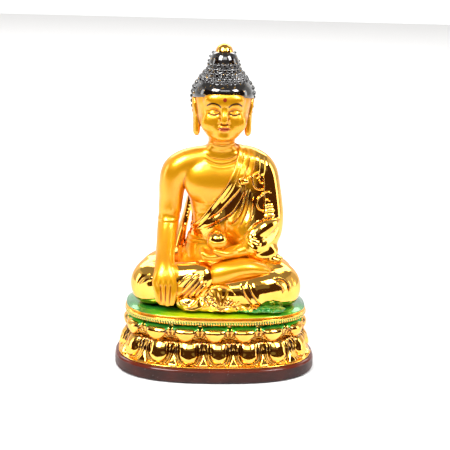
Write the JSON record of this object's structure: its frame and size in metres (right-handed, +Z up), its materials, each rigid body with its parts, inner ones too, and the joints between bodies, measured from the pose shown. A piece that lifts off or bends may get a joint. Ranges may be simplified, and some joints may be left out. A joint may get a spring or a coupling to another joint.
{
  "type": "buddha statue",
  "caption": "Seated buddha statue with an alms bowl on an oval double lotus seat, gilt figure, lacquered cushion and dark plinth, for a shelf or altar.",
  "frame": {"origin": "centre of the underside, where the felt pad rests", "axes": "+Z up, the figure faces -Y, its right arm is on the -X side"},
  "size_m": [0.065, 0.041, 0.1043],
  "materials": {
    "gilt_chrome": "mirror-bright gold electroplate over a cast figure",
    "gilt_satin": "satin gold paint with a fine metallic flake",
    "black_lacquer": "glossy black lacquer, rubbed through to gold on the highest curls",
    "green_lacquer": "translucent green lacquer over gold, darker near the figure",
    "brown_lacquer": "dark red-brown lacquer, glossy on the upper edge, duller below",
    "felt": "dark green felt",
    "peg_brass": "plain drawn brass"
  },
  "bodies": {
    "root": {"base_pad": "felt", "plinth": "brown_lacquer", "plinth_pegs": "peg_brass", "lotus_core": "gilt_chrome", "lower_petals": "gilt_chrome", "upper_petals": "gilt_chrome", "bead_band": "gilt_chrome", "seat_cushion": "green_lacquer", "seat_pegs": "peg_brass", "right_leg": "gilt_chrome", "left_leg": "gilt_chrome", "right_foot": "gilt_satin", "front_drape": "gilt_chrome", "torso": "gilt_satin", "waist_sash": "gilt_chrome", "robe": "gilt_chrome", "robe_ribbon": "gilt_chrome", "right_arm": "gilt_satin", "left_sleeve": "gilt_chrome", "left_hand": "gilt_satin", "alms_bowl": "gilt_chrome", "offering": "gilt_chrome", "shoulder_pegs": "peg_brass", "head": "gilt_satin", "neck_peg": "peg_brass", "hair_cap": "black_lacquer", "ushnisha": "black_lacquer", "finial": "gilt_chrome", "finial_pin": "peg_brass"}
  },
  "joints": []
}
